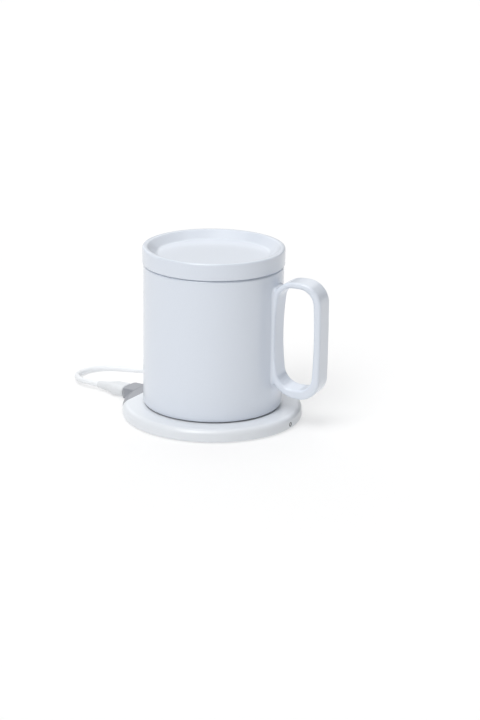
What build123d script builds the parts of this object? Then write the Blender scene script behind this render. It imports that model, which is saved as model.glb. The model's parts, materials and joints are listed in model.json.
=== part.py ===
"""Heated mug set: a straight-sided mug with a dished lid, on a thin round charging pad with a USB-C lead.

Millimetres, +Z up. The origin is the centre of the pad's foot, on the surface that the pad stands on.
The port of the pad faces -X and its indicator light faces +X.
"""
import os
from math import cos, pi, radians, sin, tan

from build123d import *

# ---------------------------------------------------------------- pad housing
PAD_RADIUS = 53.2
PAD_HEIGHT = 8.0
PAD_TOP_ROUND = 3.2
PAD_BASE_ROUND = 1.0
PAD_WALL = 3.0
PAD_ROOF = 1.6
CAVITY_ROUND = 0.8
COVER_THICKNESS = 1.4
COVER_LEDGE = 0.8  # how far the cover overlaps the wall that it seats on
COVER_FIT = 0.1
FOOT_EDGE_GAP = 7.7  # from the pad's rim to the edge of its foot
FOOT_THICKNESS = 1.2
FOOT_SEAT = 0.4  # depth of the foot's recess in the cover
FOOT_EDGE_ROUND = 0.3
GRIP_GROOVES = 3
GRIP_GROOVE_PITCH = 6.0
GRIP_GROOVE_WIDTH = 1.2
GRIP_GROOVE_DEPTH = 0.5

# ---------------------------------------------------------------- case screws and their bosses
SCREW_COUNT = 4
SCREW_WALL_GAP = 10.2  # from the inside of the wall to a screw's axis
SCREW_START_ANGLE = 45.0
SCREW_RADIUS = 1.0
SCREW_LENGTH = 4.4
SCREW_HEAD_RADIUS = 1.9
SCREW_HEAD_HEIGHT = 0.9
SCREW_HEAD_SINK = 0.1  # how far the head lies below the foot's recess
SCREW_DRIVE_WIDTH = 0.5
SCREW_CLEARANCE = 0.05
SCREW_TIP_GAP = 0.3
BOSS_WALL = 1.5
BOSS_SHOULDER = 1.0  # step on the boss that holds the board down
BOSS_FIT = 0.1
BOSS_SOCKET_DEPTH = 0.5
CUP_WALL = 1.1  # wall of the cover's cup round each boss

# ---------------------------------------------------------------- port end of the pad
PORT_DEPTH = 9.9  # from the pad's rim in to the parting line
PARTING_GAP = 0.1
PORT_AXIS_HEIGHT = 4.0
SNOUT_LENGTH = 6.8  # beyond the pad's rim
SNOUT_WIDTH = 14.0
SNOUT_TOP = 7.5
SNOUT_WALL = 1.1
SNOUT_CORNER_ROUND = 2.6
SNOUT_EDGE_ROUND = 1.0
SNOUT_BASE_ROUND = 0.5
LAP_LENGTH = 2.0  # lips of the bezel that reach under the shell's roof
LAP_THICKNESS = 0.8
LAP_WIDTH = 14.0
LAP_END_GAP = 1.4  # from a lip's outer end to the inside of the wall
LAP_FIT = 0.05

# ---------------------------------------------------------------- USB-C socket and plug
SOCKET_WIDTH = 8.94
SOCKET_HEIGHT = 3.16
SOCKET_LENGTH = 7.35
SOCKET_SHEET = 0.2
SOCKET_DEPTH = 6.9
SOCKET_RECESS = 0.2  # how far the socket's mouth lies behind the snout's face
SOCKET_FIT = 0.1
SOCKET_TAB = (1.2, 0.9, 0.3)  # length, reach and thickness of a mounting tab
SOCKET_TAB_PITCH = 4.4
TONGUE_WIDTH = 6.69
TONGUE_THICKNESS = 0.7
TONGUE_LENGTH = 4.45
TONGUE_BASE = 0.6
TONGUE_CHAMFER = 0.17
PLUG_WIDTH = 8.25
PLUG_HEIGHT = 2.4
PLUG_INSERTION = 6.65
PLUG_SLOT_FIT = 0.12
PLUG_SLOT_DEPTH = 5.2
PLUG_GAP = 0.3  # between the plug's moulding and the snout
MOULDING_WIDTH = 11.5
MOULDING_HEIGHT = 6.8
MOULDING_CORNER = 3.0
MOULDING_BODY = 8.0
MOULDING_SHOULDER = 5.0
MOULDING_FRONT_ROUND = 0.9
RELIEF_LENGTH = 7.7
RELIEF_START_RADIUS = 2.9
RELIEF_STEP = (0.4, 0.1)  # how much wider and higher the moulding ends than the relief starts
RELIEF_END_RADIUS = 2.15
RELIEF_FLARE = 0.6  # how long its sides run straight at both ends

# ---------------------------------------------------------------- board and its parts in the pad
BOARD_THICKNESS = 1.0
BOARD_EDGE_GAP = 1.2
BOARD_CENTRE_HOLE = 3.0
BOARD_FIT = 0.2
CHIP_ROUND = 0.2
PARTS_EDGE_GAP = 15.5  # from the board's edge to the ring that its parts stand on
CONTROLLER_SIZE = (6.0, 6.0, 0.9)
CONTROLLER_ANGLE = 180.0
DRIVER_SIZE = (4.9, 3.9, 1.3)
DRIVER_ANGLE = 270.0
DRIVER_PITCH = (8.0, 6.0)
DRIVER_COLUMN_COUNT = 2
DRIVER_ROW_COUNT = 2
CAPACITOR_SIZE = (3.2, 2.5, 1.6)
CAPACITOR_ANGLE = 90.0
CAPACITOR_COUNT = 4
CAPACITOR_PITCH = 4.6
INDUCTOR_SIZE = (5.4, 5.4, 1.8)
INDUCTOR_ANGLE = 15.0
INDUCTOR_CORNER = 1.2
LED_SIZE = (1.0, 1.6, 0.9)
LED_EDGE_GAP = 0.4
LIGHT_HEIGHT = 3.5
LIGHT_RADIUS = 0.9
LIGHT_FLANGE_RADIUS = 1.2
LIGHT_FLANGE = 0.6
LIGHT_FIT = 0.05

# ---------------------------------------------------------------- coils and ferrites
COIL_CHIP_GAP = 5.5  # from the last turn to the ring of the mug's chips
COIL_PARTS_GAP = 11.5  # from the last turn to the ring of the pad's parts
COIL_TURNS = 8
COIL_PITCH = 1.5
COIL_WIRE_WIDTH = 1.3
PAD_COIL_HEIGHT = 1.2
MUG_COIL_HEIGHT = 1.0
FERRITE_MARGIN = 1.35  # beyond the winding
FERRITE_THICKNESS = 0.6
LEAD_SLOT_WIDTH = 2.2
LEAD_WIRE_WIDTH = 1.2
LEAD_SOLDER_GAP = 3.0  # from the ferrite's edge to the leads' solder pads
SENSOR_RADIUS = 1.5

# ---------------------------------------------------------------- mug
MUG_RADIUS = 41.0
MUG_HEIGHT = 84.7
MUG_WALL = 4.0
MUG_FLOOR_HEIGHT = 12.0
MUG_FOOT_ROUND = 2.6
MUG_RIM_ROUND = 1.2
MUG_INSIDE_ROUND = 7.0
FOOT_RING_WIDTH = 6.0
RECESS_DEPTH = 8.0
HANDLE_ANGLE = 5.9
HANDLE_WIDTH = 14.3
HANDLE_REACH = 29.6  # beyond the mug's outer face, at the middle of the grip
HANDLE_BOTTOM = 11.6  # above the mug's foot
HANDLE_TOP_GAP = 3.4  # below the mug's rim
HANDLE_SIDE_STRAP = 4.1  # at the middle of the grip
HANDLE_TOP_STRAP = 3.6
HANDLE_LOWER_STRAP = 5.5
HANDLE_ROOT_STRAP = 1.4  # outside the mug's face, where the finger gap is widest
HANDLE_SINK = 2.0  # how far the strap's ring reaches inside the mug's outer face
HANDLE_BOW = 0.4  # how far the ring's sides swell
HANDLE_CORNERS = (18.0, 12.5, 13.0, 16.0)  # rounds, from the lower root on to the grip and back at the top
FINGER_GAP_BOWS = (2.6, 1.3)  # how far the gap's sides swell towards the mug and towards the grip
FINGER_GAP_CORNERS = (10.7, 8.8, 9.2, 9.2)
HANDLE_ROUND = 1.5
HANDLE_FLARE = 1.5  # round in the corner between the handle and the mug
ROUND_SHARE = 0.98  # of an end's width that its two rounds may fill

# ---------------------------------------------------------------- receiver and heater in the mug's foot
HEATER_EDGE_GAP = 4.0  # from the side of the recess
HEATER_THICKNESS = 0.6
INSULATION_THICKNESS = 1.5
RECEIVER_BOARD_GAP = 3.5
RECEIVER_BOARD_THICKNESS = 0.8
RECEIVER_CHIP_SIZE = (4.0, 4.0, 1.0)
RECEIVER_CHIP_GAP = 4.0  # from the board's edge to the middle of a chip
RECEIVER_CHIP_COUNT = 5
HEATER_PIN_RADIUS = 0.6
HEATER_PIN_GAP = 3.5  # from the heater's edge to a pin's axis
PIN_FIT = 0.15
CAP_EDGE_GAP = 1.6  # from the side of the recess, filled by the seal
CAP_THICKNESS = 1.6
CAP_LIFT = 0.3  # gap between the cap and the pad
CAP_EDGE_ROUND = 0.4
CAP_RIM_WALL = 1.4
CAP_SEAT_MARGIN = 1.0  # how far the coil's seat reaches inside its first turn
SEAL_SINK = 0.3
SEAL_HEIGHT = 1.1
SEAL_EDGE_ROUND = 0.27

# ---------------------------------------------------------------- lid
LID_OVERHANG = 0.6  # beyond the mug's outer face
LID_HEIGHT = 10.0
LID_RIM_WIDTH = 2.8
LID_TOP_ROUND = 1.2
LID_INSIDE_ROUND = 1.6
LID_BASE_ROUND = 0.6
DISH_DEPTH = 4.6
DISH_WALL_RUN = 5.8  # how far the dish's sloped wall runs in
DISH_CORNER_ROUND = 3.0
LID_FLOOR = 2.6
SPIGOT_WALL = 2.6
SPIGOT_DEPTH = 6.0
SPIGOT_LIP = 0.8
SPIGOT_LIP_HEIGHT = 1.2
SPIGOT_EDGE_ROUND = 0.5
LID_SEAL_FLANGE = 0.4  # thickness of the seal between the lid and the rim
LID_SEAL_INSET = 1.4  # how far the flange lies inside the mug's outer face
LID_SEAL_WALL = 0.8
LID_SEAL_LIP = 0.5
LID_SEAL_LIPS = 2
LID_SEAL_LIP_TURN = 0.0  # a corner of each lip points outwards
LID_SEAL_GAP = 0.5  # between the lips and the mug's bore

# ---------------------------------------------------------------- coiled lead and its USB-A plug
CORD_RADIUS = 1.75
CORD_ROUTE = (  # from the end of the strain relief, on the pad's x and y and above the surface
    (0.0, 0.0, 4.0),
    (-11.4, 0.0, 4.0),
    (-21.1, 6.1, 3.1),
    (-26.0, 16.3, 2.2),
    (-24.7, 27.7, 1.75),
    (-17.6, 36.6, 1.75),
    (2.0, 43.4, 1.75),
    (35.1, 54.1, 1.75),
    (60.7, 61.7, 1.75),
)
BUNDLE_CENTRE = (54.5, 82.0)  # on the same axes as the route
BUNDLE_RADIUS = 17.75  # middle of its turns
BUNDLE_LAYERS = 4
BUNDLE_TURNS_PER_LAYER = 2
BUNDLE_ENTRY_ANGLE = 287.0
BUNDLE_EXIT_ANGLE = 90.0
BUNDLE_WHOLE_TURNS = 7
BUNDLE_ROUND = 1.5
TAIL_ROUTE = (
    (46.5, 101.2, 12.25),
    (37.5, 101.9, 11.6),
    (29.0, 101.3, 7.6),
    (20.5, 101.3, 4.0),
    (11.5, 101.3, 4.0),
)
TIE_ARC = 22.0
TIE_ANGLE = 350.0
TIE_THICKNESS = 0.6
A_RELIEF_LENGTH = 7.0
A_RELIEF_START_RADIUS = 3.2
A_RELIEF_END_RADIUS = 2.15
A_MOULDING = (20.0, 16.0, 8.0)
A_MOULDING_ROUND = 2.0
A_MOULDING_END_ROUND = 1.0
A_SHELL = (12.0, 12.0, 4.5)
A_SHELL_SHEET = 0.3
A_WINDOW = (2.0, 2.4)
A_WINDOW_PITCH = 5.4
A_WINDOW_FROM_TIP = 5.5
A_INSERT_THICKNESS = 1.9
A_INSERT_SHORT = 0.6
A_CONTACT = (7.4, 1.1, 0.15)
A_CONTACT_COUNT = 4
A_CONTACT_PITCH = 2.2

# ---------------------------------------------------------------- levels and radii that follow from these
shell_bottom = FOOT_THICKNESS - FOOT_SEAT
cover_top = shell_bottom + COVER_THICKNESS
foot_recess_top = shell_bottom + FOOT_SEAT
roof_underside = PAD_HEIGHT - PAD_ROOF
cavity_radius = PAD_RADIUS - PAD_WALL
cover_bore_radius = cavity_radius + COVER_LEDGE
foot_radius = PAD_RADIUS - FOOT_EDGE_GAP
port_chord = PAD_RADIUS - PORT_DEPTH
snout_reach = PAD_RADIUS + SNOUT_LENGTH
lap_centre = (cavity_radius**2 - port_chord**2) ** 0.5 - LAP_END_GAP - LAP_WIDTH / 2
board_bottom = PORT_AXIS_HEIGHT - BOARD_THICKNESS / 2
board_top = board_bottom + BOARD_THICKNESS
ferrite_top = board_top + FERRITE_THICKNESS
head_seat = foot_recess_top + SCREW_HEAD_SINK + SCREW_HEAD_HEIGHT
boss_radius = SCREW_RADIUS + BOSS_WALL
boss_end = board_bottom - BOSS_SOCKET_DEPTH
screw_tip = head_seat + SCREW_LENGTH
board_radius = cavity_radius - BOARD_EDGE_GAP
parts_ring = board_radius - PARTS_EDGE_GAP

# both windings are one size, which suits the mug and the pad
chip_ring = MUG_RADIUS - FOOT_RING_WIDTH - RECEIVER_BOARD_GAP - RECEIVER_CHIP_GAP
last_turn_radius = min(chip_ring - COIL_CHIP_GAP, parts_ring - COIL_PARTS_GAP)
first_turn_radius = last_turn_radius - COIL_TURNS * COIL_PITCH
coil_outer_radius = last_turn_radius + COIL_WIRE_WIDTH / 2
ferrite_radius = coil_outer_radius + FERRITE_MARGIN
lead_solder_radius = ferrite_radius + LEAD_SOLDER_GAP

mug_base = PAD_HEIGHT
mug_rim = mug_base + MUG_HEIGHT
mug_floor = mug_base + MUG_FLOOR_HEIGHT
bore_radius = MUG_RADIUS - MUG_WALL
recess_radius = MUG_RADIUS - FOOT_RING_WIDTH
recess_roof = mug_base + RECESS_DEPTH
heater_bottom = recess_roof - HEATER_THICKNESS
receiver_board_top = heater_bottom - INSULATION_THICKNESS
receiver_board_bottom = receiver_board_top - RECEIVER_BOARD_THICKNESS
mug_ferrite_bottom = receiver_board_bottom - FERRITE_THICKNESS
mug_coil_bottom = mug_ferrite_bottom - MUG_COIL_HEIGHT
heater_radius = recess_radius - HEATER_EDGE_GAP
receiver_board_radius = recess_radius - RECEIVER_BOARD_GAP
cap_bottom = mug_base + CAP_LIFT
cap_top = cap_bottom + CAP_THICKNESS
cap_radius = recess_radius - CAP_EDGE_GAP

lid_base = mug_rim + LID_SEAL_FLANGE
lid_top = lid_base + LID_HEIGHT
lid_radius = MUG_RADIUS + LID_OVERHANG
dish_floor = lid_top - DISH_DEPTH
dish_floor_radius = lid_radius - LID_RIM_WIDTH - DISH_WALL_RUN
spigot_radius = bore_radius - LID_SEAL_GAP - LID_SEAL_LIP - LID_SEAL_WALL
spigot_inner_radius = spigot_radius - SPIGOT_WALL
spigot_bottom = lid_base - SPIGOT_DEPTH
seal_bottom = spigot_bottom + SPIGOT_LIP_HEIGHT

socket_mouth = -(snout_reach - SOCKET_RECESS)
socket_rear = socket_mouth + SOCKET_LENGTH
plug_face = -(snout_reach + PLUG_GAP)
plug_tip = plug_face + PLUG_INSERTION
tongue_root = socket_mouth + SOCKET_DEPTH - TONGUE_BASE
moulding_end = plug_face - MOULDING_BODY - MOULDING_SHOULDER
relief_end = moulding_end - RELIEF_LENGTH

screw_places = PolarLocations(cavity_radius - SCREW_WALL_GAP, SCREW_COUNT, start_angle=SCREW_START_ANGLE)
port_plane = Plane(origin=(0, 0, PORT_AXIS_HEIGHT), x_dir=(0, 1, 0), z_dir=(-1, 0, 0))


def port_section(x):
    """The plane across the port's axis at a given x, with its own z pointing out of the port."""
    return port_plane.offset(-x)


def upright_plane(origin, bearing):
    """The upright plane through a vertical axis whose own x points outwards at a bearing in degrees."""
    turn = radians(bearing)
    return Plane(origin=origin, x_dir=(cos(turn), sin(turn), 0), z_dir=(sin(turn), -cos(turn), 0))


def nearest_corner(sketch, x, y):
    """The corner of a sketch that lies nearest a point given on the sketch's own axes."""
    return sketch.vertices().sort_by_distance((x, y))[0]


def save(part, name):
    """Labels a finished piece and writes it to its own file."""
    part.label = name
    export_step(part, f"parts/{name}.step")


os.makedirs("parts", exist_ok=True)

# ================================================================ pad housing
with BuildPart() as pad_top_shell:
    with BuildSketch(Plane.XY.offset(shell_bottom)):
        Circle(PAD_RADIUS)
    extrude(amount=PAD_HEIGHT - shell_bottom)
    fillet(pad_top_shell.edges().group_by(Axis.Z)[-1], PAD_TOP_ROUND)
    fillet(pad_top_shell.edges().group_by(Axis.Z)[0], PAD_BASE_ROUND)
    with BuildSketch(Plane.XY.offset(shell_bottom)):
        Circle(cover_bore_radius)
    extrude(amount=COVER_THICKNESS, mode=Mode.SUBTRACT)
    with BuildSketch(Plane.XZ) as cavity_section:
        with Locations((0, cover_top)):
            Rectangle(cavity_radius, roof_underside - cover_top, align=Align.MIN)
        fillet(cavity_section.vertices().group_by(Axis.Y)[-1].sort_by(Axis.X)[-1], CAVITY_ROUND)
    revolve(axis=Axis.Z, mode=Mode.SUBTRACT)
    # bosses with a shoulder that holds the board down
    with BuildSketch(Plane.XY.offset(roof_underside)):
        with screw_places:
            Circle(boss_radius + BOSS_SHOULDER)
    extrude(amount=board_top - roof_underside)
    with BuildSketch(Plane.XY.offset(roof_underside)):
        with screw_places:
            Circle(boss_radius)
    extrude(amount=boss_end - roof_underside)
    with BuildSketch(Plane.XY.offset(boss_end)):
        with screw_places:
            Circle(SCREW_RADIUS + SCREW_CLEARANCE)
    extrude(amount=screw_tip + SCREW_TIP_GAP - boss_end, mode=Mode.SUBTRACT)
    # window for the light guide
    with BuildSketch(Plane.YZ.offset(cavity_radius - PAD_WALL)):
        with Locations((0, LIGHT_HEIGHT)):
            Circle(LIGHT_RADIUS + LIGHT_FIT)
    extrude(amount=3 * PAD_WALL, mode=Mode.SUBTRACT)
    # straight parting line to the port bezel
    with BuildSketch(Plane.XY):
        with Locations((-port_chord + PARTING_GAP, 0)):
            Rectangle(PAD_RADIUS, 2 * PAD_RADIUS, align=(Align.MAX, Align.CENTER))
    extrude(amount=PAD_HEIGHT, mode=Mode.SUBTRACT)
save(pad_top_shell.part, "pad_top_shell")

with BuildPart() as port_snout:
    with BuildSketch(Plane.XY.offset(shell_bottom)) as snout_outline:
        with Locations((-snout_reach, 0)):
            Rectangle(snout_reach - port_chord, SNOUT_WIDTH, align=(Align.MIN, Align.CENTER))
        fillet(snout_outline.vertices().group_by(Axis.X)[0], SNOUT_CORNER_ROUND)
    extrude(amount=SNOUT_TOP - shell_bottom)
    fillet(port_snout.edges().group_by(Axis.Z)[-1].sort_by(Axis.X)[:-1], SNOUT_EDGE_ROUND)
    fillet(port_snout.edges().group_by(Axis.Z)[0].sort_by(Axis.X)[:-1], SNOUT_BASE_ROUND)

with BuildPart() as port_bezel:
    with BuildSketch(Plane.XY.offset(shell_bottom)):
        Circle(PAD_RADIUS)
    extrude(amount=PAD_HEIGHT - shell_bottom)
    fillet(port_bezel.edges().group_by(Axis.Z)[-1], PAD_TOP_ROUND)
    fillet(port_bezel.edges().group_by(Axis.Z)[0], PAD_BASE_ROUND)
    split(bisect_by=Plane.YZ.offset(-port_chord), keep=Keep.BOTTOM)
    add(port_snout.part)
    # seat of the cover and space for the board
    with BuildSketch(Plane.XY.offset(shell_bottom)):
        Circle(cover_bore_radius)
    extrude(amount=COVER_THICKNESS, mode=Mode.SUBTRACT)
    with BuildSketch(Plane.XY.offset(cover_top)):
        Circle(cavity_radius)
    extrude(amount=roof_underside - cover_top, mode=Mode.SUBTRACT)
    with BuildSketch(Plane.XY.offset(cover_top)):
        with Locations((-snout_reach + SNOUT_WALL, 0)):
            Rectangle(snout_reach, SNOUT_WIDTH - 2 * SNOUT_WALL, align=(Align.MIN, Align.CENTER))
    extrude(amount=SNOUT_TOP - SNOUT_WALL - cover_top, mode=Mode.SUBTRACT)
    # mouth of the port
    with BuildSketch(port_section(-snout_reach)):
        SlotOverall(SOCKET_WIDTH + 2 * SOCKET_FIT, SOCKET_HEIGHT + 2 * SOCKET_FIT)
    extrude(amount=-2 * SNOUT_WALL, mode=Mode.SUBTRACT)
    # lips that lap under the roof of the shell, each with its root under the bezel's own roof
    lap_places = [(-port_chord, side * lap_centre) for side in (-1, 1)]
    with BuildSketch(Plane.XY.offset(roof_underside - LAP_FIT - LAP_THICKNESS)):
        with Locations(lap_places):
            Rectangle(LAP_LENGTH, LAP_WIDTH, align=(Align.MAX, Align.CENTER))
    extrude(amount=LAP_THICKNESS + LAP_FIT)
    with BuildSketch(Plane.XY.offset(roof_underside - LAP_FIT - LAP_THICKNESS)):
        with Locations(lap_places):
            Rectangle(LAP_LENGTH, LAP_WIDTH, align=(Align.MIN, Align.CENTER))
    extrude(amount=LAP_THICKNESS)
save(port_bezel.part, "port_bezel")

with BuildPart() as pad_bottom_cover:
    with BuildSketch(Plane.XY.offset(shell_bottom)):
        Circle(cover_bore_radius - COVER_FIT)
    extrude(amount=COVER_THICKNESS)
    with BuildSketch(Plane.XY.offset(cover_top)):
        with screw_places:
            Circle(boss_radius + BOSS_FIT + CUP_WALL)
    extrude(amount=board_bottom - cover_top)
    with BuildSketch(Plane.XY.offset(boss_end)):
        with screw_places:
            Circle(boss_radius + BOSS_FIT)
    extrude(amount=board_bottom - boss_end, mode=Mode.SUBTRACT)
    with BuildSketch(Plane.XY.offset(shell_bottom)):
        Circle(foot_radius + COVER_FIT)
    extrude(amount=FOOT_SEAT, mode=Mode.SUBTRACT)
    with BuildSketch(Plane.XY.offset(foot_recess_top)):
        with screw_places:
            Circle(SCREW_HEAD_RADIUS + COVER_FIT)
    extrude(amount=head_seat - foot_recess_top, mode=Mode.SUBTRACT)
    with BuildSketch(Plane.XY.offset(head_seat)):
        with screw_places:
            Circle(SCREW_RADIUS + 2 * SCREW_CLEARANCE)
    extrude(amount=boss_end - head_seat, mode=Mode.SUBTRACT)
save(pad_bottom_cover.part, "pad_bottom_cover")

with BuildPart() as pad_foot:
    with BuildSketch(Plane.XY):
        Circle(foot_radius)
    extrude(amount=FOOT_THICKNESS)
    fillet(pad_foot.edges().group_by(Axis.Z)[0], FOOT_EDGE_ROUND)
    with BuildSketch(Plane.XY):
        for groove in range(1, GRIP_GROOVES + 1):
            Circle(foot_radius - groove * GRIP_GROOVE_PITCH)
            Circle(foot_radius - groove * GRIP_GROOVE_PITCH - GRIP_GROOVE_WIDTH, mode=Mode.SUBTRACT)
    extrude(amount=GRIP_GROOVE_DEPTH, mode=Mode.SUBTRACT)
save(pad_foot.part, "pad_foot")

with BuildPart() as case_screws:
    with BuildSketch(Plane.XY.offset(head_seat)):
        with screw_places:
            Circle(SCREW_HEAD_RADIUS)
    extrude(amount=-SCREW_HEAD_HEIGHT)
    with BuildSketch(Plane.XY.offset(head_seat)):
        with screw_places:
            Circle(SCREW_RADIUS)
    extrude(amount=SCREW_LENGTH)
    with BuildSketch(Plane.XY.offset(head_seat - SCREW_HEAD_HEIGHT)):
        with screw_places:
            Rectangle(2 * SCREW_RADIUS, SCREW_DRIVE_WIDTH)
            Rectangle(SCREW_DRIVE_WIDTH, 2 * SCREW_RADIUS)
    extrude(amount=SCREW_HEAD_HEIGHT / 2, mode=Mode.SUBTRACT)
save(case_screws.part, "case_screws")

with BuildPart() as light_guide:
    with BuildSketch(Plane.YZ.offset(cavity_radius)):
        with Locations((0, LIGHT_HEIGHT)):
            Circle(LIGHT_RADIUS)
    extrude(amount=PAD_WALL)
    with BuildSketch(Plane.YZ.offset(cavity_radius - LIGHT_FIT)):
        with Locations((0, LIGHT_HEIGHT)):
            Circle(LIGHT_FLANGE_RADIUS)
    extrude(amount=-LIGHT_FLANGE)
    with BuildSketch(Plane.YZ.offset(cavity_radius - LIGHT_FIT)):
        with Locations((0, LIGHT_HEIGHT)):
            Circle(LIGHT_RADIUS)
    extrude(amount=LIGHT_FIT)
    with BuildSketch(Plane.XY.offset(LIGHT_HEIGHT - LIGHT_FLANGE_RADIUS)):
        Circle(PAD_RADIUS)
    extrude(amount=2 * LIGHT_FLANGE_RADIUS, mode=Mode.INTERSECT)
save(light_guide.part, "light_guide")

# ================================================================ USB-C socket
with BuildPart() as usb_c_socket:
    with BuildSketch(port_section(socket_mouth)):
        SlotOverall(SOCKET_WIDTH, SOCKET_HEIGHT)
    extrude(amount=-SOCKET_LENGTH)
    # tabs that rest on the board, two each side
    with BuildSketch(Plane.XY.offset(board_top)):
        with Locations((socket_mouth + SOCKET_LENGTH / 2 + SOCKET_TAB[0] / 2, 0)):
            with GridLocations(SOCKET_TAB_PITCH, 0, 2, 1):
                Rectangle(SOCKET_TAB[0], SOCKET_WIDTH + 2 * SOCKET_TAB[1])
    extrude(amount=SOCKET_TAB[2])
    with BuildSketch(port_section(socket_mouth)):
        SlotOverall(SOCKET_WIDTH - 2 * SOCKET_SHEET, SOCKET_HEIGHT - 2 * SOCKET_SHEET)
    extrude(amount=-SOCKET_DEPTH, mode=Mode.SUBTRACT)
save(usb_c_socket.part, "usb_c_socket")

with BuildPart() as usb_c_tongue:
    with BuildSketch(port_section(tongue_root + TONGUE_BASE)):
        SlotOverall(SOCKET_WIDTH - 2 * SOCKET_SHEET, SOCKET_HEIGHT - 2 * SOCKET_SHEET)
    extrude(amount=TONGUE_BASE)
    with BuildSketch(port_section(tongue_root)):
        Rectangle(TONGUE_WIDTH, TONGUE_THICKNESS)
    extrude(amount=TONGUE_LENGTH)
    chamfer(usb_c_tongue.edges().group_by(Axis.X)[0], TONGUE_CHAMFER)
save(usb_c_tongue.part, "usb_c_tongue")

# ================================================================ board and its parts in the pad
board_nose_reach = snout_reach - SNOUT_WALL - BOARD_FIT
board_nose_width = SNOUT_WIDTH - 2 * (SNOUT_WALL + BOARD_FIT)

with BuildPart() as transmitter_board:
    with BuildSketch(Plane.XY.offset(board_bottom)):
        Circle(board_radius)
        with Locations((-board_nose_reach, 0)):
            Rectangle(board_nose_reach, board_nose_width, align=(Align.MIN, Align.CENTER))
        with Locations((socket_rear + SOCKET_FIT, 0)):
            Rectangle(
                snout_reach,
                SOCKET_WIDTH + 2 * SOCKET_FIT,
                align=(Align.MAX, Align.CENTER),
                mode=Mode.SUBTRACT,
            )
        with screw_places:
            Circle(boss_radius + BOSS_FIT, mode=Mode.SUBTRACT)
        Circle(BOARD_CENTRE_HOLE, mode=Mode.SUBTRACT)
    extrude(amount=BOARD_THICKNESS)
save(transmitter_board.part, "transmitter_board")


def packages(bottom, size, places, corner=CHIP_ROUND):
    """Boxed electronic parts of one size that stand on a board, with their top edges broken."""
    with BuildPart() as group:
        with BuildSketch(Plane.XY.offset(bottom)):
            with places:
                RectangleRounded(size[0], size[1], corner)
        extrude(amount=size[2])
        chamfer(group.faces().group_by(Axis.Z)[-1].edges(), CHIP_ROUND)
    return group.part


def on_ring(angle, rest=GridLocations(1, 1, 1, 1)):
    """Places round a point of the ring that the board's parts stand on, at an angle in degrees."""
    turn = radians(angle)
    centre = Location((parts_ring * cos(turn), parts_ring * sin(turn)))
    return Locations([centre * place for place in rest.locations])


driver_grid = GridLocations(*DRIVER_PITCH, DRIVER_COLUMN_COUNT, DRIVER_ROW_COUNT)
capacitor_row = GridLocations(CAPACITOR_PITCH, 0, CAPACITOR_COUNT, 1)
save(packages(board_top, CONTROLLER_SIZE, on_ring(CONTROLLER_ANGLE)), "controller_chip")
save(packages(board_top, INDUCTOR_SIZE, on_ring(INDUCTOR_ANGLE), INDUCTOR_CORNER), "inductor")
save(packages(board_top, DRIVER_SIZE, on_ring(DRIVER_ANGLE, driver_grid)), "driver_chips")
save(packages(board_top, CAPACITOR_SIZE, on_ring(CAPACITOR_ANGLE, capacitor_row)), "resonant_capacitors")

with BuildPart() as status_led:
    with BuildSketch(Plane.XY.offset(board_bottom)):
        with Locations((board_radius - LED_EDGE_GAP, 0)):
            Rectangle(LED_SIZE[0], LED_SIZE[1], align=(Align.MAX, Align.CENTER))
    extrude(amount=-LED_SIZE[2])
save(status_led.part, "status_led")


def ferrite_disc(bottom):
    """A ferrite sheet with a slot towards -X for the coil's inner lead."""
    with BuildPart() as sheet:
        with BuildSketch(Plane.XY.offset(bottom)):
            Circle(ferrite_radius)
            with Locations((-first_turn_radius + COIL_WIRE_WIDTH, 0)):
                Rectangle(
                    ferrite_radius, LEAD_SLOT_WIDTH, align=(Align.MAX, Align.CENTER), mode=Mode.SUBTRACT
                )
        extrude(amount=FERRITE_THICKNESS)
    return sheet.part


def flat_coil(bottom, height):
    """A flat spiral winding: half turns about two centres, half a pitch apart."""
    with BuildPart() as winding:
        with BuildSketch(Plane.XY.offset(bottom)):
            with BuildLine():
                for turn in range(COIL_TURNS):
                    radius = first_turn_radius + turn * COIL_PITCH
                    CenterArc((0, 0), radius, -180, 180)
                    CenterArc((-COIL_PITCH / 2, 0), radius + COIL_PITCH / 2, 0, 180)
            trace(line_width=COIL_WIRE_WIDTH)
        extrude(amount=height)
    return winding.part


def coil_lead_pair(board_face, coil_face):
    """The winding's two leads, from its first and last turn to solder pads on the board's face.

    The inner lead lies in the slot of the ferrite, and the outer one steps over its edge.
    """
    away = coil_face - board_face
    upright = Align.MIN if away > 0 else Align.MAX
    with BuildPart() as pair:
        with BuildSketch(Plane.XY.offset(board_face)):
            with Locations((-first_turn_radius + COIL_WIRE_WIDTH / 2, 0)):
                Rectangle(
                    lead_solder_radius - first_turn_radius,
                    LEAD_WIRE_WIDTH,
                    align=(Align.MAX, Align.CENTER),
                )
        extrude(amount=away)
        with BuildSketch(Plane.XZ.offset(LEAD_SLOT_WIDTH)):
            with Locations((-coil_outer_radius, coil_face)):
                Rectangle(lead_solder_radius - last_turn_radius, abs(away), align=(Align.MAX, upright))
            with Locations((-lead_solder_radius - COIL_WIRE_WIDTH / 2, board_face)):
                Rectangle(LEAD_WIRE_WIDTH, 2 * abs(away), align=(Align.MIN, upright))
        extrude(amount=LEAD_WIRE_WIDTH)
    return pair.part


save(ferrite_disc(board_top), "transmitter_ferrite")
save(flat_coil(ferrite_top, PAD_COIL_HEIGHT), "transmitter_coil")
save(coil_lead_pair(board_top, ferrite_top), "transmitter_leads")

with BuildPart() as pad_thermistor:
    with BuildSketch(Plane.XY.offset(ferrite_top)):
        Circle(SENSOR_RADIUS)
    extrude(amount=roof_underside - ferrite_top)
save(pad_thermistor.part, "pad_thermistor")

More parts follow.
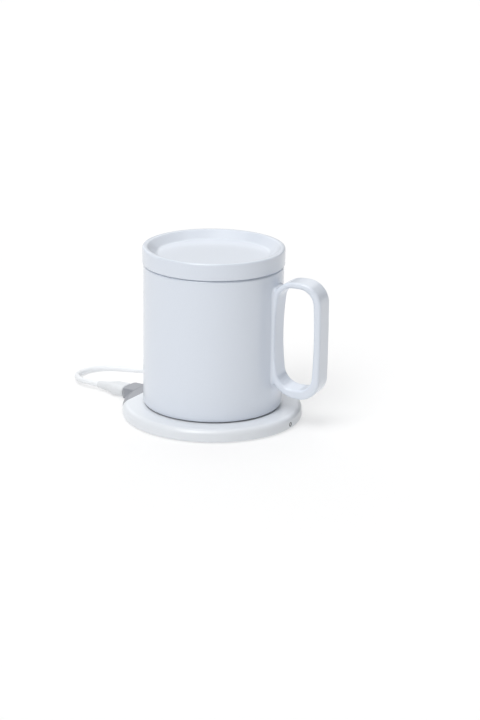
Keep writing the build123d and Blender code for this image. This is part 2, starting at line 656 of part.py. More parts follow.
# ================================================================ mug
with BuildPart() as mug_body:
    with BuildSketch(Plane.XZ) as mug_section:
        with BuildLine():
            Polyline(
                (0, recess_roof),
                (recess_radius, recess_roof),
                (recess_radius, mug_base),
                (MUG_RADIUS, mug_base),
                (MUG_RADIUS, mug_rim),
                (bore_radius, mug_rim),
                (bore_radius, mug_floor),
                (0, mug_floor),
                close=True,
            )
        make_face()
        fillet(nearest_corner(mug_section, MUG_RADIUS, mug_base), MUG_FOOT_ROUND)
        fillet(nearest_corner(mug_section, bore_radius, mug_floor), MUG_INSIDE_ROUND)
        fillet(mug_section.vertices().group_by(Axis.Y)[-1], MUG_RIM_ROUND)
    revolve(axis=Axis.Z)
save(mug_body.part, "mug_body")

handle_plane = upright_plane((0, 0, mug_base), HANDLE_ANGLE)
far_seam_plane = Plane(origin=(0, 0, 0), x_dir=-handle_plane.x_dir, z_dir=(0, 0, 1))


def barrel(left, right, low, high, bows, rounds):
    """An upright outline between four sides, of which the left and the right one swell by the bows.

    Its ends are level, and the sides reach as far as given at mid-height. The rounds start at the lower
    left corner and go on to the lower right one. They are made smaller where two of them fill an end.
    """
    left_end, right_end = left + bows[0], right - bows[1]
    middle = (low + high) / 2
    corners = ((left_end, low), (right_end, low), (right_end, high), (left_end, high))
    fullest = max(rounds[0] + rounds[1], rounds[2] + rounds[3])
    room = min(1, ROUND_SHARE * (right_end - left_end) / fullest)
    with BuildSketch() as outline:
        with BuildLine():
            Line(corners[0], corners[1])
            ThreePointArc(corners[1], (right, middle), corners[2])
            Line(corners[2], corners[3])
            ThreePointArc(corners[3], (left, middle), corners[0])
        make_face()
        for corner, radius in zip(corners, rounds):
            fillet(nearest_corner(outline, *corner), room * radius)
    return outline.sketch


with BuildPart() as mug_handle:
    handle_root = MUG_RADIUS - HANDLE_SINK
    handle_end = MUG_RADIUS + HANDLE_REACH
    handle_top = MUG_HEIGHT - HANDLE_TOP_GAP
    handle_ring = barrel(
        handle_root - HANDLE_BOW,
        handle_end,
        HANDLE_BOTTOM,
        handle_top,
        (HANDLE_BOW, HANDLE_BOW),
        HANDLE_CORNERS,
    )
    finger_gap = barrel(
        MUG_RADIUS + HANDLE_ROOT_STRAP,
        handle_end - HANDLE_SIDE_STRAP,
        HANDLE_BOTTOM + HANDLE_LOWER_STRAP,
        handle_top - HANDLE_TOP_STRAP,
        FINGER_GAP_BOWS,
        FINGER_GAP_CORNERS,
    )
    with BuildSketch(handle_plane.offset(-HANDLE_WIDTH / 2)):
        add(handle_ring)
        add(finger_gap, mode=Mode.SUBTRACT)
    extrude(amount=HANDLE_WIDTH)
    handle_faces = mug_handle.faces().filter_by(Axis(handle_plane.origin, handle_plane.z_dir))
    fillet(handle_faces.edges(), HANDLE_ROUND)
    # the mug's round face, its seam away from the handle, stands in while the handle's root is flared
    with BuildSketch(far_seam_plane):
        Circle(MUG_RADIUS)
    extrude(amount=mug_rim)
    mug_side = mug_handle.faces().filter_by(GeomType.CYLINDER).sort_by(SortBy.AREA)[-1]
    fillet(mug_side.inner_wires().edges(), HANDLE_FLARE)
    with BuildSketch(far_seam_plane):
        Circle(MUG_RADIUS)
    extrude(amount=mug_rim, mode=Mode.SUBTRACT)
save(mug_handle.part, "mug_handle")

# ================================================================ receiver and heater in the mug's foot
with BuildPart() as heating_disc:
    with BuildSketch(Plane.XY.offset(heater_bottom)):
        Circle(heater_radius)
    extrude(amount=HEATER_THICKNESS)
save(heating_disc.part, "heating_disc")

pin_places = PolarLocations(heater_radius - HEATER_PIN_GAP, 2, start_angle=90)
chip_places = PolarLocations(chip_ring, RECEIVER_CHIP_COUNT)

with BuildPart() as insulation_disc:
    with BuildSketch(Plane.XY.offset(receiver_board_top)):
        Circle(heater_radius)
        Circle(SENSOR_RADIUS + PIN_FIT, mode=Mode.SUBTRACT)
        with pin_places:
            Circle(HEATER_PIN_RADIUS + PIN_FIT, mode=Mode.SUBTRACT)
    extrude(amount=INSULATION_THICKNESS)
save(insulation_disc.part, "insulation_disc")

with BuildPart() as heater_pins:
    with BuildSketch(Plane.XY.offset(receiver_board_top)):
        with pin_places:
            Circle(HEATER_PIN_RADIUS)
    extrude(amount=INSULATION_THICKNESS)
save(heater_pins.part, "heater_pins")

with BuildPart() as mug_thermistor:
    with BuildSketch(Plane.XY.offset(receiver_board_top)):
        Circle(SENSOR_RADIUS)
    extrude(amount=INSULATION_THICKNESS)
save(mug_thermistor.part, "mug_thermistor")

with BuildPart() as receiver_board:
    with BuildSketch(Plane.XY.offset(receiver_board_bottom)):
        Circle(receiver_board_radius)
    extrude(amount=RECEIVER_BOARD_THICKNESS)
save(receiver_board.part, "receiver_board")

with BuildPart() as receiver_chips:
    with BuildSketch(Plane.XY.offset(receiver_board_bottom)):
        with chip_places:
            RectangleRounded(RECEIVER_CHIP_SIZE[0], RECEIVER_CHIP_SIZE[1], CHIP_ROUND)
    extrude(amount=-RECEIVER_CHIP_SIZE[2])
    chamfer(receiver_chips.faces().group_by(Axis.Z)[0].edges(), CHIP_ROUND)
save(receiver_chips.part, "receiver_chips")

save(ferrite_disc(mug_ferrite_bottom), "receiver_ferrite")
save(flat_coil(mug_coil_bottom, MUG_COIL_HEIGHT), "receiver_coil")
save(coil_lead_pair(receiver_board_bottom, mug_ferrite_bottom), "receiver_leads")

cap_rim_inner_radius = receiver_board_radius - CAP_RIM_WALL
cap_seat_radius = first_turn_radius - CAP_SEAT_MARGIN
with BuildPart() as base_cap:
    with BuildSketch(Plane.XZ) as cap_section:
        with BuildLine():
            Polyline(
                (0, cap_bottom),
                (cap_radius, cap_bottom),
                (cap_radius, cap_top),
                (receiver_board_radius, cap_top),
                (receiver_board_radius, receiver_board_bottom),
                (cap_rim_inner_radius, receiver_board_bottom),
                (cap_rim_inner_radius, cap_top),
                (coil_outer_radius, cap_top),
                (coil_outer_radius, mug_coil_bottom),
                (cap_seat_radius, mug_coil_bottom),
                (cap_seat_radius, cap_top),
                (0, cap_top),
                close=True,
            )
        make_face()
        fillet(cap_section.vertices().group_by(Axis.Y)[0].sort_by(Axis.X)[-1], CAP_EDGE_ROUND)
    revolve(axis=Axis.Z)
save(base_cap.part, "base_cap")

with BuildPart() as base_seal:
    with BuildSketch(Plane.XZ) as base_seal_section:
        with Locations((cap_radius, cap_bottom + SEAL_SINK)):
            Rectangle(recess_radius - cap_radius, SEAL_HEIGHT, align=Align.MIN)
        fillet(base_seal_section.vertices().group_by(Axis.Y)[0], SEAL_EDGE_ROUND)
    revolve(axis=Axis.Z)
save(base_seal.part, "base_seal")

# ================================================================ lid
with BuildPart() as lid:
    with BuildSketch(Plane.XZ) as lid_section:
        with BuildLine():
            Polyline(
                (0, dish_floor - LID_FLOOR),
                (spigot_inner_radius, dish_floor - LID_FLOOR),
                (spigot_inner_radius, spigot_bottom),
                (spigot_radius + SPIGOT_LIP, spigot_bottom),
                (spigot_radius + SPIGOT_LIP, seal_bottom),
                (spigot_radius, seal_bottom),
                (spigot_radius, lid_base),
                (lid_radius, lid_base),
                (lid_radius, lid_top),
                (lid_radius - LID_RIM_WIDTH, lid_top),
                (dish_floor_radius, dish_floor),
                (0, dish_floor),
                close=True,
            )
        make_face()
        fillet(nearest_corner(lid_section, lid_radius, lid_top), LID_TOP_ROUND)
        fillet(nearest_corner(lid_section, lid_radius - LID_RIM_WIDTH, lid_top), LID_INSIDE_ROUND)
        fillet(nearest_corner(lid_section, dish_floor_radius, dish_floor), DISH_CORNER_ROUND)
        fillet(nearest_corner(lid_section, lid_radius, lid_base), LID_BASE_ROUND)
        fillet(lid_section.vertices().group_by(Axis.Y)[0], SPIGOT_EDGE_ROUND)
    revolve(axis=Axis.Z)
save(lid.part, "lid")

with BuildPart() as lid_seal:
    seal_outer = spigot_radius + LID_SEAL_WALL
    seal_height = lid_base - seal_bottom
    with BuildSketch(Plane.XZ) as lid_seal_section:
        with Locations((spigot_radius, seal_bottom)):
            Rectangle(LID_SEAL_WALL, seal_height, align=Align.MIN)
        with Locations((spigot_radius, mug_rim)):
            Rectangle(MUG_RADIUS - LID_SEAL_INSET - spigot_radius, LID_SEAL_FLANGE, align=Align.MIN)
        lip_pitch = (seal_height - LID_SEAL_FLANGE) / LID_SEAL_LIPS
        with Locations((seal_outer, seal_bottom + (seal_height - LID_SEAL_FLANGE) / 2)):
            with GridLocations(0, lip_pitch, 1, LID_SEAL_LIPS):
                RegularPolygon(LID_SEAL_LIP, 4, rotation=LID_SEAL_LIP_TURN)
    revolve(axis=Axis.Z)
save(lid_seal.part, "lid_seal")

# ================================================================ USB-C plug
with BuildPart() as usb_c_plug_shell:
    with BuildSketch(port_section(plug_tip)):
        SlotOverall(PLUG_WIDTH, PLUG_HEIGHT)
    extrude(amount=PLUG_INSERTION)
    chamfer(usb_c_plug_shell.edges().group_by(Axis.X)[-1], SOCKET_SHEET)
    with BuildSketch(port_section(plug_tip)):
        Rectangle(TONGUE_WIDTH + 2 * PLUG_SLOT_FIT, TONGUE_THICKNESS + 2 * PLUG_SLOT_FIT)
    extrude(amount=PLUG_SLOT_DEPTH, mode=Mode.SUBTRACT)
save(usb_c_plug_shell.part, "usb_c_plug_shell")

with BuildPart() as usb_c_moulding:
    with BuildSketch(port_section(plug_face)):
        RectangleRounded(MOULDING_WIDTH, MOULDING_HEIGHT, MOULDING_CORNER)
    extrude(amount=MOULDING_BODY)
    fillet(usb_c_moulding.edges().group_by(Axis.X)[-1], MOULDING_FRONT_ROUND)
    with BuildSketch(port_section(plug_face - MOULDING_BODY)):
        RectangleRounded(MOULDING_WIDTH, MOULDING_HEIGHT, MOULDING_CORNER)
    with BuildSketch(port_section(moulding_end)):
        RectangleRounded(
            2 * RELIEF_START_RADIUS + RELIEF_STEP[0],
            2 * RELIEF_START_RADIUS + RELIEF_STEP[1],
            RELIEF_START_RADIUS,
        )
    loft()
save(usb_c_moulding.part, "usb_c_moulding")


def strain_relief(plane, length, start_radius, end_radius):
    """A tapered round sleeve that stands on a plane, slightly hollow towards its thin end."""
    with BuildPart() as sleeve:
        with BuildSketch(Plane.XZ):
            with BuildLine():
                Polyline((0, length), (0, 0), (start_radius, 0))
                Spline(
                    (start_radius, 0),
                    (end_radius, length),
                    tangents=((0, 1), (0, 1)),
                    tangent_scalars=(RELIEF_FLARE, RELIEF_FLARE),
                )
                Line((end_radius, length), (0, length))
            make_face()
        revolve(axis=Axis.Z)
    return plane * sleeve.part


usb_c_relief = strain_relief(
    port_section(moulding_end), RELIEF_LENGTH, RELIEF_START_RADIUS, RELIEF_END_RADIUS
)
save(usb_c_relief, "usb_c_relief")

# ================================================================ lead
bundle_outer_radius = BUNDLE_RADIUS + BUNDLE_TURNS_PER_LAYER * CORD_RADIUS + CORD_RADIUS
bundle_inner_radius = BUNDLE_RADIUS - BUNDLE_TURNS_PER_LAYER * CORD_RADIUS - CORD_RADIUS
bundle_height = 2 * CORD_RADIUS * BUNDLE_LAYERS
bundle_turns = BUNDLE_WHOLE_TURNS + ((BUNDLE_EXIT_ANGLE - BUNDLE_ENTRY_ANGLE) % 360) / 360
bundle_centre = (relief_end + BUNDLE_CENTRE[0], BUNDLE_CENTRE[1], 0)
bundle_axis = Axis(bundle_centre, (0, 0, 1))
cord_route = [(relief_end + x, y, z) for x, y, z in CORD_ROUTE]
tail_route = [(relief_end + x, y, z) for x, y, z in TAIL_ROUTE]


def bend_radii(route):
    """For each inner point, the largest arc that its two runs leave room for."""
    points = [Vector(*p) for p in route]
    radii = []
    for before, corner, after in zip(points, points[1:], points[2:]):
        half_turn = radians((corner - before).get_angle(after - corner)) / 2
        radii.append(0.45 * min((corner - before).length, (after - corner).length) / tan(half_turn))
    return radii


def cord_tube(route):
    """A round cord along straight runs that are joined by tangent arcs."""
    with BuildPart() as tube:
        with BuildLine() as path:
            FilletPolyline(*route, radius=bend_radii(route))
        with BuildSketch(Plane(origin=path.wire() @ 0, z_dir=path.wire() % 0)):
            Circle(CORD_RADIUS)
        sweep()
    length = path.wire().length
    share = tube.part.volume / (pi * CORD_RADIUS**2 * length)
    print("cord run", round(length, 1), "mm, volume against section times length", round(share, 4))
    print("bend radii", [round(r, 1) for r in bend_radii(route)])
    return tube.part, length


def bundle_section():
    """The outline of the put-away turns, in the current sketch of the plane through their axis."""
    with Locations((BUNDLE_RADIUS, bundle_height / 2)):
        RectangleRounded(bundle_outer_radius - bundle_inner_radius, bundle_height, BUNDLE_ROUND)


with BuildPart() as tie_sleeve:
    with BuildSketch(upright_plane(bundle_centre, TIE_ANGLE)):
        bundle_section()
        with Locations((BUNDLE_RADIUS, bundle_height / 2)):
            RectangleRounded(
                bundle_outer_radius - bundle_inner_radius - 2 * TIE_THICKNESS,
                bundle_height - 2 * TIE_THICKNESS,
                BUNDLE_ROUND - TIE_THICKNESS,
                mode=Mode.SUBTRACT,
            )
    revolve(axis=bundle_axis, revolution_arc=TIE_ARC)
save(tie_sleeve.part, "cord_tie")

with BuildPart() as cord_coil:
    with BuildSketch(upright_plane(bundle_centre, TIE_ANGLE)):
        bundle_section()
    revolve(axis=bundle_axis)
    add(tie_sleeve.part, mode=Mode.SUBTRACT)
save(cord_coil.part, "cord_coil")

lead_tube, lead_length = cord_tube(cord_route)
tail_tube, tail_length = cord_tube(tail_route)

with BuildPart() as bundle_envelope:
    with BuildSketch(Plane.XY):
        with Locations(bundle_centre):
            Circle(bundle_outer_radius)
    extrude(amount=bundle_height)

with BuildPart() as usb_cord:
    add(lead_tube)
    add(bundle_envelope.part, mode=Mode.SUBTRACT)
save(usb_cord.part, "usb_cord")

with BuildPart() as cord_tail:
    add(tail_tube)
    add(bundle_envelope.part, mode=Mode.SUBTRACT)
save(cord_tail.part, "cord_tail")

wound_length = bundle_turns * 2 * pi * BUNDLE_RADIUS
whole_length = lead_length + wound_length + tail_length
print("lead length", round(whole_length, 1), "mm in", round(bundle_turns, 2), "turns")

# ================================================================ USB-A plug at the far end of the lead
tail_end = tail_route[-1]
a_plane = Plane(origin=tail_end, x_dir=(0, 1, 0), z_dir=(-1, 0, 0))
a_moulding_plane = a_plane.offset(A_RELIEF_LENGTH)
a_shell_plane = a_moulding_plane.offset(A_MOULDING[0])

a_relief_plane = Plane(origin=a_moulding_plane.origin, x_dir=(0, 1, 0), z_dir=(1, 0, 0))
usb_a_relief = strain_relief(a_relief_plane, A_RELIEF_LENGTH, A_RELIEF_START_RADIUS, A_RELIEF_END_RADIUS)
save(usb_a_relief, "usb_a_relief")

with BuildPart() as usb_a_moulding:
    with BuildSketch(a_moulding_plane):
        RectangleRounded(A_MOULDING[1], A_MOULDING[2], A_MOULDING_ROUND)
    extrude(amount=A_MOULDING[0])
    fillet(usb_a_moulding.edges().group_by(Axis.X)[0], A_MOULDING_END_ROUND)
    fillet(usb_a_moulding.edges().group_by(Axis.X)[-1], A_MOULDING_END_ROUND)
save(usb_a_moulding.part, "usb_a_moulding")

with BuildPart() as usb_a_shell:
    with BuildSketch(a_shell_plane):
        Rectangle(A_SHELL[1], A_SHELL[2])
    extrude(amount=A_SHELL[0])
    with BuildSketch(a_shell_plane):
        Rectangle(A_SHELL[1] - 2 * A_SHELL_SHEET, A_SHELL[2] - 2 * A_SHELL_SHEET)
    extrude(amount=A_SHELL[0], mode=Mode.SUBTRACT)
    with BuildSketch(Plane.XY.offset(tail_end[2] - A_SHELL[2])):
        with Locations((a_shell_plane.origin.X - A_SHELL[0] + A_WINDOW_FROM_TIP, tail_end[1])):
            with GridLocations(0, A_WINDOW_PITCH, 1, 2):
                Rectangle(*A_WINDOW)
    extrude(amount=2 * A_SHELL[2], mode=Mode.SUBTRACT)
save(usb_a_shell.part, "usb_a_shell")

insert_width = A_SHELL[1] - 2 * A_SHELL_SHEET
insert_top = A_SHELL[2] / 2 - A_SHELL_SHEET
contact_places = GridLocations(A_CONTACT_PITCH, 0, A_CONTACT_COUNT, 1)

with BuildPart() as usb_a_insert:
    with BuildSketch(a_shell_plane):
        with Locations((0, insert_top)):
            Rectangle(insert_width, A_INSERT_THICKNESS, align=(Align.CENTER, Align.MAX))
    extrude(amount=A_SHELL[0] - A_INSERT_SHORT)
    with BuildSketch(a_shell_plane):
        with Locations((0, insert_top - A_INSERT_THICKNESS + A_CONTACT[2] / 2)):
            with contact_places:
                Rectangle(A_CONTACT[1], A_CONTACT[2])
    extrude(amount=A_CONTACT[0], mode=Mode.SUBTRACT)
save(usb_a_insert.part, "usb_a_insert")

with BuildPart() as usb_a_contacts:
    with BuildSketch(a_shell_plane):
        with Locations((0, insert_top - A_INSERT_THICKNESS + A_CONTACT[2] / 2)):
            with contact_places:
                Rectangle(A_CONTACT[1], A_CONTACT[2])
    extrude(amount=A_CONTACT[0])
save(usb_a_contacts.part, "usb_a_contacts")
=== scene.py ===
import json
from math import cos, hypot, pi, radians, sin

import bpy
from mathutils import Matrix, Vector


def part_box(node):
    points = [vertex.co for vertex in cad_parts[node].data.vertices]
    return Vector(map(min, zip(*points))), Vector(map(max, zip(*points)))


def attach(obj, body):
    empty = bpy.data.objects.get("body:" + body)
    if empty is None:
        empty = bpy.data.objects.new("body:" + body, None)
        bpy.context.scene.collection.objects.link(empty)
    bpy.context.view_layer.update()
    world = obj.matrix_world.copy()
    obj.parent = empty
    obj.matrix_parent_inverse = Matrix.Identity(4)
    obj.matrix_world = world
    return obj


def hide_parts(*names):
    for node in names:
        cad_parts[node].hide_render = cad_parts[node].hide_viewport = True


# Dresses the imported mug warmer: its camera, light and finishes, and the pieces that CAD leaves plain.
# Lengths are in metres.
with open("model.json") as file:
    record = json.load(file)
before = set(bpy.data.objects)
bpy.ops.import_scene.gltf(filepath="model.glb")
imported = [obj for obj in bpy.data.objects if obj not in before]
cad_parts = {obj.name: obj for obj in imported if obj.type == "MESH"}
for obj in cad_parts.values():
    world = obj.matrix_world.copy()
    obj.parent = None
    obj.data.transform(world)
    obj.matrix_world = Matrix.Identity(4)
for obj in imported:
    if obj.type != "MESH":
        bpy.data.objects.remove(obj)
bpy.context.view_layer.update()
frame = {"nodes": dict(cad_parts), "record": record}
scene = bpy.context.scene


# ---------------------------------------------------------------- small tools
def placed(name, data):
    """A new object of the scene with this data."""
    made = bpy.data.objects.new(name, data)
    scene.collection.objects.link(made)
    return made


def eased(share):
    """A share held between 0 and 1, with a soft start and end."""
    held = min(1.0, max(0.0, share))
    return held * held * (3 - 2 * held)


def skinned(name, sections, closed):
    """A smooth piece through sections with as many corners each, closed in a loop or capped."""
    around = len(sections[0])
    faces = []
    for step in range(len(sections) if closed else len(sections) - 1):
        here = step * around
        after = (step + 1) % len(sections) * around
        for corner in range(around):
            beside = (corner + 1) % around
            faces.append((here + corner, after + corner, after + beside, here + beside))
    if not closed:
        last = (len(sections) - 1) * around
        faces.append(tuple(range(around)))
        faces.append(tuple(reversed(range(last, last + around))))
    mesh = bpy.data.meshes.new(name)
    mesh.from_pydata([corner for section in sections for corner in section], [], faces)
    mesh.shade_smooth()
    return placed(name, mesh)


# ---------------------------------------------------------------- camera
CAMERA_AT = Vector((0.6319, -1.0517, 0.4234))
CAMERA_BEARING = radians(30.25)  # of the picture's horizontal, from +X towards +Y
CAMERA_PITCH = 0.3075  # radians below level
CAMERA_ROLL = 0.0144  # radians
FOCAL_LENGTH = 109.19  # in millimetres, as the sensor's height
SENSOR_HEIGHT = 36.0
NEAREST_SEEN = 0.01
FARTHEST_SEEN = 100.0


def from_view(side, away, height):
    """A direction given by its parts to the picture's right, away from the camera, and up."""
    right = Vector((cos(CAMERA_BEARING), sin(CAMERA_BEARING), 0))
    ahead = Vector((-sin(CAMERA_BEARING), cos(CAMERA_BEARING), 0))
    return right * side + ahead * away + Vector((0, 0, height))


def camera_matrix():
    """The camera's place and turn, from its bearing, pitch and roll."""
    right = from_view(1, 0, 0)
    forward = from_view(0, cos(CAMERA_PITCH), -sin(CAMERA_PITCH))
    upward = from_view(0, sin(CAMERA_PITCH), cos(CAMERA_PITCH))
    x_axis = right * cos(CAMERA_ROLL) + upward * sin(CAMERA_ROLL)
    y_axis = upward * cos(CAMERA_ROLL) - right * sin(CAMERA_ROLL)
    turn = Matrix((x_axis, y_axis, -forward)).transposed().to_4x4()
    return Matrix.Translation(CAMERA_AT) @ turn


def photo_camera():
    """A camera where the photograph was taken from."""
    optics = bpy.data.cameras.new("camera")
    optics.sensor_fit = "VERTICAL"
    optics.sensor_height = SENSOR_HEIGHT
    optics.lens = FOCAL_LENGTH
    optics.clip_start = NEAREST_SEEN
    optics.clip_end = FARTHEST_SEEN
    camera = placed("camera", optics)
    camera.matrix_world = camera_matrix()
    return camera


scene.camera = photo_camera()
scene.view_settings.view_transform = "Standard"
scene.view_settings.look = "None"

# ---------------------------------------------------------------- light
WORLD_FILL = 0.06  # how much the surroundings light the object
WORLD_SEEN = 1.0  # how bright they are beyond the floor's far edge


def studio_world():
    """A white world round the object that gives only a little light."""
    world = bpy.data.worlds.new("studio")
    world.use_nodes = True
    nodes = world.node_tree.nodes
    background = nodes["Background"]
    background.inputs["Color"].default_value = (1, 1, 1, 1)
    strength = nodes.new("ShaderNodeMapRange")
    strength.inputs["To Min"].default_value = WORLD_FILL
    strength.inputs["To Max"].default_value = WORLD_SEEN
    seen = nodes.new("ShaderNodeLightPath").outputs["Is Camera Ray"]
    world.node_tree.links.new(seen, strength.inputs["Value"])
    world.node_tree.links.new(strength.outputs["Result"], background.inputs["Strength"])
    return world


def soft_light(name, towards, strength, spread):
    """A wide, even light from far off, in a direction seen from the object."""
    light = bpy.data.lights.new(name, "SUN")
    light.energy = strength
    light.angle = radians(spread)
    lamp = placed(name, light)
    lamp.location = towards
    lamp.rotation_euler = towards.to_track_quat("Z", "Y").to_euler()


scene.world = studio_world()
soft_light("key", from_view(-0.35, -0.61, 0.71), strength=1.0, spread=30)
soft_light("key_high", from_view(-0.21, -0.37, 0.91), strength=1.13, spread=40)
soft_light("overhead", from_view(0, 0, 1), strength=0.67, spread=60)
soft_light("back", from_view(0, 0.71, 0.71), strength=0.60, spread=60)
soft_light("back_low", from_view(0, 0.98, 0.21), strength=0.14, spread=60)
soft_light("back_left", from_view(-0.69, 0.69, 0.21), strength=0.43, spread=60)
soft_light("back_right", from_view(0.50, 0.50, 0.71), strength=0.25, spread=60)

# ---------------------------------------------------------------- tools for procedural finishes
WAVES_PER_UNIT = 20 / (2 * pi)  # ridges of a wave texture on one unit at scale 1


def tint(colour, factor):
    """A colour made lighter or darker."""
    return tuple(min(1.0, part * factor) for part in colour)


class Finish:
    """A procedural material under construction, laid out in the object's own coordinates.

    Values that are the same all over are given by the shader's own names, with _ for a space.
    """

    def __init__(self, name, **uniform):
        self.look = bpy.data.materials.new(name)
        self.look.use_nodes = True
        self.shader = self.look.node_tree.nodes["Principled BSDF"]
        for socket, value in uniform.items():
            self.shader.inputs[socket.replace("_", " ")].default_value = value
        self.place = self.node("ShaderNodeTexCoord").outputs["Object"]

    def node(self, kind, inputs=None, **settings):
        """A node with its settings, and each input either a value or another node's output."""
        made = self.look.node_tree.nodes.new(kind)
        for setting, value in settings.items():
            setattr(made, setting, value)
        for socket, value in (inputs or {}).items():
            self.feed(made.inputs[socket], value)
        return made

    def feed(self, socket, value):
        """Links an output to a socket, or sets the socket to a value."""
        if isinstance(value, bpy.types.NodeSocket):
            self.look.node_tree.links.new(value, socket)
        else:
            socket.default_value = value

    def stretched(self, factors):
        """The object's coordinates times a factor for each axis."""
        inputs = {0: self.place, 1: factors}
        return self.node("ShaderNodeVectorMath", inputs, operation="MULTIPLY").outputs[0]

    def height(self):
        """How high a point lies."""
        return self.node("ShaderNodeSeparateXYZ", {0: self.place}).outputs["Z"]

    def noise(self, size, detail=2.0, where=None, distortion=0.0):
        """Soft random variation, from 0 to 1, with features of a size."""
        inputs = {
            "Vector": where or self.place,
            "Scale": 1 / size,
            "Detail": detail,
            "Distortion": distortion,
        }
        return self.node("ShaderNodeTexNoise", inputs).outputs["Fac"]

    def cells(self, size):
        """Distance to the middle of the nearest of random cells of a size."""
        inputs = {"Vector": self.place, "Scale": 1 / size}
        return self.node("ShaderNodeTexVoronoi", inputs).outputs["Distance"]

    def ridges(self, spacing, distortion, **pattern):
        """Even ridges, from 0 to 1, in one of the wave texture's patterns."""
        inputs = {
            "Vector": self.place,
            "Scale": 1 / spacing / WAVES_PER_UNIT,
            "Distortion": distortion,
        }
        return self.node("ShaderNodeTexWave", inputs, **pattern).outputs["Fac"]

    def bands(self, spacing, axis, distortion=0.0):
        """Straight ridges, one after the other along an axis."""
        return self.ridges(spacing, distortion, wave_type="BANDS", bands_direction=axis)

    def circles(self, spacing, distortion=0.0):
        """Ridges in circles about the object's upright axis."""
        return self.ridges(spacing, distortion, wave_type="RINGS", rings_direction="Z")

    def math(self, operation, first, second):
        """The result of an operation on two numbers."""
        return self.node("ShaderNodeMath", {0: first, 1: second}, operation=operation).outputs[0]

    def between(self, share, low, high, start=0.0, end=1.0):
        """A number that goes from low to high as the share goes from start to end."""
        inputs = {"Value": share, "From Min": start, "From Max": end, "To Min": low, "To Max": high}
        return self.node("ShaderNodeMapRange", inputs).outputs["Result"]

    def rise(self, value, start, end):
        """0 up to the start and 1 past the end of a value."""
        return self.between(value, 0.0, 1.0, start, end)

    def blend(self, share, first, second):
        """A colour between two colours."""
        made = self.node("ShaderNodeMix", {"Factor": share}, data_type="RGBA")
        for socket, colour in (("A", first), ("B", second)):
            opaque = (*colour, 1) if isinstance(colour, tuple) else colour
            self.feed(made.inputs[socket], opaque)
        return made.outputs["Result"]

    def relief(self, height, depth, under=None):
        """A bump of a depth, on top of another one if given."""
        inputs = {"Height": height, "Distance": depth, "Strength": 1.0}
        if under is not None:
            inputs["Normal"] = under
        return self.node("ShaderNodeBump", inputs).outputs["Normal"]

    def done(self, colour, roughness, normal):
        """The finished material."""
        self.feed(self.shader.inputs["Base Color"], colour)
        self.feed(self.shader.inputs["Roughness"], roughness)
        self.feed(self.shader.inputs["Normal"], normal)
        return self.look


# ---------------------------------------------------------------- finishes
def glazed():
    """White satin glaze, slightly cool, with the ring that the mug stands on left bare and coloured
    near-black as painted shade of the crevice under the mug.
    """
    white = (0.75, 0.80, 0.88)
    # the bare foot ring is real, but its near-black colour is painted shade of the crevice between mug
    # and pad
    bare_crevice_shade = (0.17, 0.17, 0.18)
    bare_roughness = 0.85
    shaded_foot_height = 0.0007  # of the foot's bare band, coloured as painted crevice shade, from its underside
    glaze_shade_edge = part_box("mug_body")[0].z + shaded_foot_height
    wander = 0.0002  # how far the glaze's edge runs up and down
    fade = 0.0001  # how far above and below its edge the glaze thins out
    glaze = Finish("glazed_white", Coat_Weight=0.6, Coat_Roughness=0.12)
    cloud = glaze.noise(size=0.035, detail=3.0)
    specks = glaze.rise(glaze.noise(size=0.0006, detail=1.0), start=0.3, end=0.7)
    clouded = glaze.blend(cloud, tint(white, 0.992), tint(white, 1.006))
    speckled = glaze.blend(specks, tint(white, 0.985), clouded)
    shift = glaze.between(glaze.noise(size=0.004), -wander, wander)
    level = glaze.math("ADD", glaze.height(), shift)
    glazed_unshaded = glaze.rise(level, start=glaze_shade_edge - fade, end=glaze_shade_edge + fade)
    satin = glaze.between(cloud, 0.29, 0.35)
    roughness = glaze.math("MAXIMUM", glaze.between(glazed_unshaded, bare_roughness, 0.0), satin)
    ripple = glaze.relief(glaze.noise(size=0.012, detail=1.0), depth=0.000012)
    skin = glaze.relief(glaze.noise(size=0.0008), depth=0.0000015, under=ripple)
    # below the glaze's edge the colour is painted shade of the crevice under the mug
    return glaze.done(glaze.blend(glazed_unshaded, bare_crevice_shade, speckled), roughness, skin)


def moulded(name, colour, roughness, grain=0.00045, depth=0.000008, **uniform):
    """Injection-moulded plastic: a fine eroded grain, faint flow marks and an uneven sheen."""
    plastic = Finish(name, **uniform)
    flow = plastic.noise(size=0.030, detail=3.0, distortion=0.6)
    cloud = plastic.noise(size=0.008, detail=4.0)
    shade = plastic.blend(flow, tint(colour, 0.98), tint(colour, 1.015))
    sheen = plastic.between(cloud, roughness * 0.88, roughness * 1.12)
    eroded = plastic.relief(plastic.noise(size=grain, detail=1.5), depth)
    waves = plastic.relief(plastic.noise(size=0.012, detail=0.0), depth=0.00001, under=eroded)
    return plastic.done(shade, sheen, waves)


def rubbery(name, colour, roughness):
    """Silicone: a dusty, matt skin with a fine tooth."""
    rubber = Finish(name, Sheen_Weight=0.08, Sheen_Roughness=0.5)
    dust = rubber.noise(size=0.006, detail=5.0)
    shade = rubber.blend(dust, tint(colour, 0.95), tint(colour, 1.04))
    sheen = rubber.between(dust, roughness * 0.9, min(1.0, roughness * 1.12))
    tooth = rubber.relief(rubber.noise(size=0.0003), depth=0.000012)
    return rubber.done(shade, sheen, tooth)


def drawn_metal(name, colour, roughness):
    """Plated metal: fine drawing lines along X, and handling marks."""
    metal = Finish(name, Metallic=1.0)
    along_x = metal.stretched((0.04, 1.0, 1.0))
    streaks = metal.noise(size=0.00012, detail=3.0, where=along_x)
    marks = metal.noise(size=0.004, detail=4.0)
    shade = metal.blend(marks, tint(colour, 0.94), tint(colour, 1.03))
    sheen = metal.between(streaks, roughness * 0.75, roughness * 1.3)
    return metal.done(shade, sheen, metal.relief(streaks, depth=0.000003))


